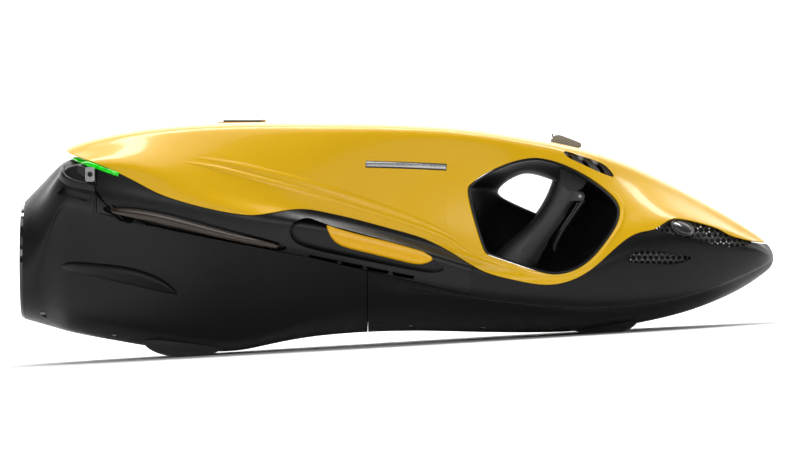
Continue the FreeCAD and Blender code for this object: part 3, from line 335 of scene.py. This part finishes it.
def bump(v):
    # a soft rise across a band, sunk a little at both edges
    return math.cos((v - 0.5) * math.pi) ** 1.5 if 0 < v < 1 else 0.0


def level(height):
    # the rule of a skin that keeps one height over the flank
    return lambda u, v: height


def both(make):
    # the same piece on the starboard and the port flank
    for side, word in ((-1, "right"), (1, "left")):
        make(side, word)


def flankOf(tree, spots, side):
    # a smooth stand-in for a flank, fitted to where lines across the hull meet it
    rows, depths = [], []
    for x, z in spots:
        hit, way = onSide(tree, x / 1000, z / 1000, side)
        if hit is not None:
            rows.append([1, hit.x, hit.z, hit.x ** 2, hit.x * hit.z, hit.z ** 2])
            depths.append(hit.y)
    fitted = np.linalg.lstsq(np.array(rows), np.array(depths), rcond=None)[0]
    a, b, c, d, e, f = (float(value) for value in fitted)

    def flank(x, z):
        y = a + b * x + c * z + d * x * x + e * x * z + f * z * z
        way = Vector((-(b + 2 * d * x + e * z), 1, -(c + e * x + 2 * f * z))).normalized()
        return Vector((x, y, z)), way * side
    return flank


# honeycomb of the nose and flank intakes
intakes = {
    "nose_grille": [(394, 188), (404, 199), (426, 216), (465, 207), (498, 197), (522, 184), (543, 175),
                    (529, 168), (515, 165), (504, 166), (478, 171), (438, 180), (406, 186)],
    "intake_grille": [(342, 143), (349, 152), (358, 160), (380, 162), (420, 156), (448, 151), (443, 147),
                      (423, 139), (390, 140), (360, 142)],
    # floor and floorThick sink and thicken the black sheet behind the cells, a painted shade of the hollow
    # nose
    "across": 0.0088, "wall": 0.0026, "deep": 0.002, "floor": 0.008, "floorThick": 0.001, "margin": 0.004,
    "reach": 0.56, "merge": 0.0003, "sliver": 0.0002,
    "lamp": (0.432, 0.196), "lampTilt": 25, "lampHalf": (0.016, 0.007, 0.0098), "lampRing": 0.11,
    "lampRoom": 1.3, "lampSunk": 0.0005,
}
intakeKinds = ("nose_grille", "intake_grille")


def inLamp(kind, x, z):
    # whether a place in the side view is covered by the round headlamp
    if kind != intakeKinds[0]:
        return False
    turn = math.radians(intakes["lampTilt"])
    dx, dz = x - intakes["lamp"][0], z - intakes["lamp"][1]
    lengthwise = dx * math.cos(turn) - dz * math.sin(turn)
    upright = dx * math.sin(turn) + dz * math.cos(turn)
    wide, _, high = intakes["lampHalf"]
    return (lengthwise / wide) ** 2 + (upright / high) ** 2 < intakes["lampRoom"]


def headlamp(side, word):
    # a dark ball lens in a lighter ring, set on the slope of the grille
    tree = surfaceOf("nose_grille_" + word)
    slope = flankOf(tree, [(x, z) for x in range(398, 536, 8) for z in range(164, 214, 5)], side)
    ball, ring = bmesh.new(), bmesh.new()
    bmesh.ops.create_uvsphere(ball, u_segments=40, v_segments=20, radius=1)
    loop = bmesh.ops.create_circle(ring, segments=14, radius=intakes["lampRing"],
                                   matrix=Matrix.Translation((1.1, 0, 0)))["verts"]
    edges = list({edge for vertex in loop for edge in vertex.link_edges})
    bmesh.ops.spin(ring, geom=loop + edges, axis=(0, 1, 0), cent=(0, 0, 0), angle=math.tau, steps=56,
                   use_merge=True)
    wide, deep, high = intakes["lampHalf"]
    place = Matrix.Rotation(math.radians(intakes["lampTilt"]), 4, "Y") @ Matrix.Diagonal((wide, 1, high, 1))
    for form, name, finish, depth in ((ball, "lamp_ball_", "lamp_housing", deep),
                                      (ring, "lamp_ring_", "slat_grey", wide)):
        for vertex in form.verts:
            out = vertex.co.y * depth
            spot = place @ vertex.co
            foot = slope(intakes["lamp"][0] + spot.x, intakes["lamp"][1] + spot.z)[0]
            vertex.co = foot + Vector((0, side * (out - intakes["lampSunk"]), 0))
        bmesh.ops.recalc_face_normals(form, faces=form.faces)
        newPiece(name + word, form, finish)


def onPlate(tree, spot, middle, side):
    # the plate at a side-view place, or at the first place towards its middle that it covers
    for step in range(16):
        place = Vector(spot).lerp(middle, step * 0.015)
        hit = onSide(tree, place.x, place.y, side)[0]
        if hit is not None:
            return hit
    return skinAt(tree, *spot, side)[0]


def honeycomb(kind, side, word):
    # hexagonal cells laid in the side view, dropped onto the plate behind the opening, over a black sheet
    # that paints the shade inside the hollow nose
    nodeName = f"{kind}_{word}"
    tree = surfaceOf(nodeName)
    outline = intakes[kind]
    middle = sum((Vector(spot) for spot in outline), Vector((0, 0))) / len(outline) / 1000
    margin, across = intakes["margin"], intakes["across"]
    lowX, highX = min(x for x, z in outline) / 1000 - margin, max(x for x, z in outline) / 1000 + margin
    lowZ, highZ = min(z for x, z in outline) / 1000 - margin, max(z for x, z in outline) / 1000 + margin
    form, paintedShadeSheet = bmesh.new(), bmesh.new()
    rowStep = across * 0.866    # rows of hexagons lie closer than their columns
    reach = across * intakes["reach"]
    corners = [(reach * math.cos(angle), reach * math.sin(angle))
               for angle in (turn * math.pi / 3 + math.pi / 6 for turn in range(6))]
    for row in range(int((highZ - lowZ) / rowStep) + 2):
        for column in range(int((highX - lowX) / across) + 2):
            x = lowX + (column + 0.5 * (row % 2)) * across
            z = lowZ + row * rowStep
            rim = [(x, z)] + [(x + dx, z + dz) for dx, dz in corners]
            found = [onSide(tree, *spot, side)[0] is not None for spot in rim]
            place = Matrix.Translation((x, 0, z)) @ Matrix.Rotation(math.radians(90), 4, "X")
            shown = found[0] and sum(found) > 4 and not inLamp(kind, x, z)
            for sheet, wanted in ((form, shown), (paintedShadeSheet, any(found))):
                if not wanted:
                    continue
                bmesh.ops.create_circle(sheet, segments=6, radius=across / math.sqrt(3), cap_ends=True,
                                        matrix=place @ Matrix.Rotation(math.radians(30), 4, "Z"))
    cells = form.faces[:]
    bmesh.ops.inset_individual(form, faces=cells, thickness=intakes["wall"] / 2)
    bmesh.ops.delete(form, geom=cells, context="FACES")
    for sheet, sunk, thick in ((form, 0, intakes["deep"]), (paintedShadeSheet, intakes["floor"], intakes["floorThick"])):
        bmesh.ops.remove_doubles(sheet, verts=sheet.verts, dist=intakes["merge"])
        for vertex in sheet.verts:
            vertex.co = onPlate(tree, (vertex.co.x, vertex.co.z), middle, side) - Vector((0, side * sunk, 0))
        bmesh.ops.dissolve_degenerate(sheet, dist=intakes["sliver"], edges=sheet.edges[:])
        backed = bmesh.ops.extrude_face_region(sheet, geom=sheet.faces[:])["geom"]
        bmesh.ops.translate(sheet, vec=(0, -side * thick, 0),
                            verts=[v for v in backed if isinstance(v, bmesh.types.BMVert)])
        bmesh.ops.recalc_face_normals(sheet, faces=sheet.faces)
    piece = newPiece(nodeName + "_mesh", form, "grille_black", smooth=False)
    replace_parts(piece, nodeName)
    # painted shade: the black floor behind the cells stands in for the shade inside the hollow nose
    newPiece(nodeName + "_floor", paintedShadeSheet, "seal_rubber")
    print(nodeName, len(piece.data.polygons), "faces")


def intakeSet(side, word):
    for kind in intakeKinds:
        honeycomb(kind, side, word)


both(intakeSet)
both(headlamp)
print("honeycomb grilles made")

# soft creases and beads of the yellow cover
coverSkin = surfaceOf("top_cover")
creases = {
    "steps": 90, "rows": 8,
    "upper": [(-325, 305), (-283, 298), (-236, 289), (-189, 277.5), (-150, 268), (-115, 257.5), (-82, 246.5),
              (-27.6, 228), (31, 205.5), (72, 187.5), (100, 173)],
    "lower": [(-340, 297), (-300, 291), (-259, 282), (-189, 264), (-133, 248), (-86, 234), (-39, 219.5),
              (19, 201), (66, 183), (98, 165), (112, 155)],
    "bead": [(116, 156), (127, 151), (140, 147), (172, 136.5), (204, 125.6), (229, 119.8), (246, 119.8),
             (266, 125), (287, 137), (303, 151.5), (319, 172), (335.5, 196), (341, 214), (341, 229),
             (331, 246), (311, 263.5)],
    "upperHalf": 7.0, "upperRise": 0.0011, "lowerHalf": 5.5, "lowerRise": 0.0013,
    "beadHalf": 4.2, "beadRise": 0.0015, "sunk": -0.0003,
}


def creaseSet(side, word):
    for part in ("upper", "lower", "bead"):
        high, low = ribbon(creases[part], creases[part + "Half"], 0.25)
        rise = creases[part + "Rise"]

        def height(u, v):
            ends = min(1, 6 * u, 6 * (1 - u))
            return creases["sunk"] + (rise - creases["sunk"]) * bump(v) * ends

        relief(f"cover_{part}_{word}", high, low, height, "cover_yellow", coverSkin, side,
               creases["steps"], creases["rows"])


both(creaseSet)
print("creases made")

# stern flank: raised fin, a black sheet under the tail that paints the shade of its recess, tether bracket
# bars and the slot
sternSkin = surfaceOf("stern_hull")
stern = {
    "finTop": [(-510, 137), (-503, 142), (-490, 144), (-470.8, 142.5), (-423.8, 138.5), (-388.6, 131),
               (-358, 118.5), (-340, 104.5), (-333, 95.5)],
    "finLow": [(-509, 135), (-503, 131), (-490, 128), (-470.8, 124.5), (-423.8, 114), (-388.6, 106),
               (-358, 99), (-340, 96), (-332.6, 94.5)],
    "finRise": 0.0075,
    "finSunk": 0.0004, "finCrest": 0.22,
    # the two edges of the black sheet that paints the shade of the recess under the tail
    "shadeSheetTop": [(-486, 294.5), (-470, 290), (-452, 284), (-430, 273), (-410, 262.5), (-392, 254),
                (-376, 246)],
    "shadeSheetLow": [(-484, 279), (-470, 271), (-452, 264), (-430, 257.5), (-410, 252.5), (-392, 247.5),
                (-376, 243)],
    "slotTop": [(-520, 249), (-511, 258.5), (-490, 254), (-460, 247)],
    "slotLow": [(-520, 246), (-511, 243), (-490, 238), (-464, 232)],
}


def finRise(u, v):
    ends = min(1, 7 * u, 4 * (1 - u)) ** 0.6 if 0 < u < 1 else 0
    top = stern["finCrest"]
    crest = min(1, v / top) ** 0.6 * (1 - max(0, v - top) / (1 - top)) ** 0.8
    return -stern["finSunk"] + stern["finRise"] * ends * crest


def sternSet(side, word):
    relief("stern_fin_" + word, stern["finTop"], stern["finLow"], finRise, "hull_black", sternSkin, side,
           60, 16)
    # painted shade: a flat black sheet under the yellow tail stands in for the shade of the recess there
    relief("tail_shade_sheet_" + word, stern["shadeSheetTop"], stern["shadeSheetLow"], level(0.0003), "socket_black",
           sternSkin, side, 40, 6, 0.0006)
    relief("slot_floor_" + word, stern["slotTop"], stern["slotLow"], level(-0.0075), "socket_black",
           sternSkin, side, 20, 6, 0.001, bridge=True)


both(sternSet)
print("stern details made")

# flank details: seam strips, rail crown, insert, light strip, ridge over the stern, plain badge strip
flank = {
    "edge": [(-452, 292), (-433, 284), (-387, 261), (-364, 247), (-318, 232), (-272, 221), (-226, 213),
             (-203, 215), (-180, 219), (-157, 223.5), (-134, 223.5), (-111, 219), (-65, 209), (-19, 196),
             (27, 184),
             (50, 175), (73, 163), (96, 149), (119, 134), (142, 124), (188, 114), (211, 110), (234, 109),
             (257, 114), (280, 124), (303, 141), (326, 163), (349, 182), (368, 189.5), (386, 191)],
    "frontSeam": [(111.2, 96), (111.2, 110), (111.2, 125), (111.2, 137)],
    "rearSeam": [(-461.6, 222), (-461.6, 240), (-461.6, 262), (-461.6, 284)],
    "railTop": [(-438, 221), (-428, 226), (-400, 225), (-358, 218), (-310, 205.5), (-261, 191.5), (-200, 176),
                (-176, 167)],
    "railLow": [(-437, 218), (-426, 212), (-400, 208), (-358, 200), (-310, 189), (-261, 178), (-200, 167),
                (-178, 163)],
    "insertTop": [(-107, 200), (-92, 196.5), (-58, 187.5), (-12, 176.5), (22, 167), (38, 162), (47, 156),
                  (54.6, 150)],
    "insertLow": [(-106.5, 196), (-98, 178), (-82, 166), (-45, 156.5), (4, 144.5), (28, 139.8), (44, 142.5),
                  (54, 149.5)],
    "insertRise": 0.0065, "insertSunk": 0.0055, "insertRolls": (0.05, 0.07, 0.16, 0.3),
    "ridgeTop": [(-508, 296), (-504, 280), (-492, 270.5), (-466, 263.5), (-428, 255.5), (-392, 248.5),
                 (-366, 241)],
    "ridgeLow": [(-520, 282), (-513, 268), (-498, 259), (-468, 252.5), (-428, 245), (-392, 239),
                 (-364, 236)],
    "badge": [(-48, 291.5), (-8, 290.5), (34, 289), (74, 287)],
    "lightTop": [(-499, 306.2), (-480, 300), (-450, 289.5), (-420, 278.5)],
    "lightLow": [(-499, 300.5), (-480, 294.2), (-450, 283.5), (-422, 273.5)],
}
bandSkin = surfaceOf("top_cover", "side_frame_right", "side_frame_left", "bow_hull", "stern_hull",
                     "tail_light_right", "tail_light_left")


def pillow(side, word):
    # the yellow insert, crowned and rolled over at its edges
    plate = surfaceOf("side_insert_" + word)
    bulge = flankOf(plate, [(x, z) for x in range(-90, 44, 9) for z in range(144, 196, 6)], side)
    form = bmesh.new()
    bmesh.ops.create_grid(form, x_segments=60, y_segments=22, size=0.5)
    rear, front, top, low = flank["insertRolls"]
    for vertex in form.verts:
        u, v = vertex.co.x + 0.5, vertex.co.y + 0.5
        spot = (along(flank["insertTop"], u) / 1000).lerp(along(flank["insertLow"], u) / 1000, v)
        place, way = bulge(spot.x, spot.y)
        edge = min(1, u / rear, (1 - u) / front, v / top, (1 - v) / low)
        crown = flank["insertRise"] * math.sin(edge * math.pi / 2) ** 0.7
        vertex.co = place + way * (crown - flank["insertSunk"])
    bmesh.ops.solidify(form, geom=form.faces[:], thickness=0.0012)
    bmesh.ops.recalc_face_normals(form, faces=form.faces)
    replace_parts(newPiece("insert_" + word, form, "insert_yellow"), "side_insert_" + word)


def ridgeRise(u, v):
    ends = min(1, 6 * u, 5 * (1 - u))
    return -0.0005 + 0.006 * min(1, v / 0.18) ** 0.7 * (1 - v) ** 0.9 * ends


def flankSet(side, word):
    high, low = ribbon(flank["edge"], 3.2)
    relief("seam_edge_" + word, high, low, level(-0.0022), "seal_rubber", bandSkin, side, 120, 2, 0.001,
           bridge=True)
    for part in ("frontSeam", "rearSeam"):
        high, low = ribbon(flank[part], 1.6)
        relief(f"fill_{part}_{word}", high, low, level(0.00005), "frame_black", bandSkin, side, 24, 2,
               0.0008, bridge=True)
    relief("rail_crown_" + word, flank["railTop"], flank["railLow"],
           lambda u, v: 0.0003 + 0.0024 * bump(v) * min(1, 5 * u, 5 * (1 - u)), "rail_black",
           surfaceOf("side_rail_" + word), side, 70, 12)
    pillow(side, word)
    relief("stern_ridge_" + word, flank["ridgeTop"], flank["ridgeLow"], ridgeRise, "hull_black", sternSkin,
           side, 60, 14)
    relief("tail_strip_" + word, flank["lightTop"], flank["lightLow"], lambda u, v: 0.0007 + 0.0009 * bump(v),
           "light_green", bandSkin, side, 60, 6)
    high, low = ribbon(flank["badge"], 4.6)
    relief("badge_rim_" + word, high, low, level(0.0004), "trigger_black", coverSkin, side, 40, 4)
    high, low = ribbon(flank["badge"], 3.0)
    relief("badge_face_" + word, high, low, lambda u, v: 0.0009 + 0.0003 * bump(v), "steel", coverSkin, side,
           40, 6)


both(flankSet)
print("flank details made")

# stage, light and camera
def makeStage():
    # paper that runs along the floor and up behind the craft, clear when seen from its back
    size = {"front": -14.0, "back": 3.2, "wide": 12.0, "rise": 4.2, "bend": 1.6, "bendSteps": 12}
    form = bmesh.new()
    profile = [(size["front"], 0), (size["back"] - size["bend"], 0)]
    for step in range(1, size["bendSteps"] + 1):
        angle = math.radians(90 * step / size["bendSteps"])
        profile.append((size["back"] - size["bend"] + size["bend"] * math.sin(angle),
                        size["bend"] * (1 - math.cos(angle))))
    profile.append((size["back"], size["rise"]))
    corners = [form.verts.new((-size["wide"], y, z)) for y, z in profile]
    edges = [form.edges.new(pair) for pair in zip(corners, corners[1:])]
    wide = bmesh.ops.extrude_edge_only(form, edges=edges)["geom"]
    bmesh.ops.translate(form, vec=(size["wide"] * 2, 0, 0),
                        verts=[v for v in wide if isinstance(v, bmesh.types.BMVert)])
    form.normal_update()
    form.faces.ensure_lookup_table()
    if form.faces[0].normal.z < 0:
        bmesh.ops.reverse_faces(form, faces=form.faces)
    for face in form.faces:
        face.smooth = True
    mesh = bpy.data.meshes.new("studioSweep")
    form.to_mesh(mesh)
    form.free()
    sweep = bpy.data.objects.new("studioSweep", mesh)
    bpy.context.collection.objects.link(sweep)
    paper = Recipe("studioPaper")
    paper.link(paper.blend(paper.noise(1.2, 3), (0.86, 0.86, 0.86), (0.88, 0.88, 0.88)),
               paper.shader.inputs["Base Color"])
    paper.shader.inputs["Roughness"].default_value = 0.8
    clear, pick = paper.node("ShaderNodeBsdfTransparent"), paper.node("ShaderNodeMixShader")
    paper.link(paper.node("ShaderNodeNewGeometry").outputs["Backfacing"], pick.inputs["Fac"])
    paper.link(paper.shader.outputs["BSDF"], pick.inputs[1])
    paper.link(clear.outputs["BSDF"], pick.inputs[2])
    paper.link(pick.outputs["Shader"], paper.tree.nodes["Material Output"].inputs["Surface"])
    mesh.materials.append(paper.material)


def makeLight(name, place, aim, size, power):
    lamp = bpy.data.lights.new(name, "AREA")
    lamp.shape = "RECTANGLE"
    lamp.size, lamp.size_y = size
    lamp.energy = power
    holder = bpy.data.objects.new(name, lamp)
    bpy.context.collection.objects.link(holder)
    holder.location = place
    holder.rotation_euler = (Vector(aim) - Vector(place)).to_track_quat("-Z", "Y").to_euler()


def makeCamera():
    # a long lens square to the starboard side, rolled so that the hull reads level
    view = {"target": (0.0038, 0, 0.1994), "distance": 12.0, "frameWidth": 1.2272, "rise": 0.0}
    camera = bpy.data.objects.new("camera", bpy.data.cameras.new("camera"))
    bpy.context.collection.objects.link(camera)
    camera.data.sensor_width = 36
    camera.data.lens = camera.data.sensor_width * view["distance"] / view["frameWidth"]
    camera.data.clip_end = 60
    target = hullPoint(*view["target"])
    place = hullPoint(view["target"][0], -view["distance"], view["target"][2] + view["rise"])
    look = (target - place).normalized()
    up = stand.to_3x3() @ Vector((0, 0, 1))
    side = look.cross(up).normalized()
    turn = Matrix((side, side.cross(look), -look)).transposed().to_4x4()
    camera.matrix_world = Matrix.Translation(place) @ turn
    bpy.context.scene.camera = camera


makeStage()
lights = {
    "topSoftbox": {"place": (0.0, -0.1, 2.3), "aim": (0, 0, 0.2), "size": (2.6, 0.8), "power": 12},
    "frontSoftbox": {"place": (-0.3, -3.2, 3.0), "aim": (0, 0, 0.25), "size": (4.2, 1.4), "power": 16},
    "noseFill": {"place": (3.0, -1.8, 0.9), "aim": (0.3, 0, 0.2), "size": (0.7, 1.4), "power": 1.5},
    "tailFill": {"place": (-3.0, -1.2, 1.4), "aim": (-0.4, 0, 0.25), "size": (0.9, 1.4), "power": 4.5},
    "backdropWash": {"place": (0, 1.4, 3.6), "aim": (0, 3.2, 0.4), "size": (6.0, 1.2), "power": 330},
    "floorWash": {"place": (0, -4.6, 1.5), "aim": (0, -4.6, 0), "size": (6.0, 3.4), "power": 210},
}
for name, settings in lights.items():
    makeLight(name, **settings)
world = bpy.data.worlds.new("studioAir")
world.use_nodes = True
world.node_tree.nodes["Background"].inputs["Color"].default_value = (1, 1, 1, 1)
world.node_tree.nodes["Background"].inputs["Strength"].default_value = 0.1
bpy.context.scene.world = world
bpy.context.scene.view_settings.view_transform = "Standard"
makeCamera()
print("stage, lights and camera set")
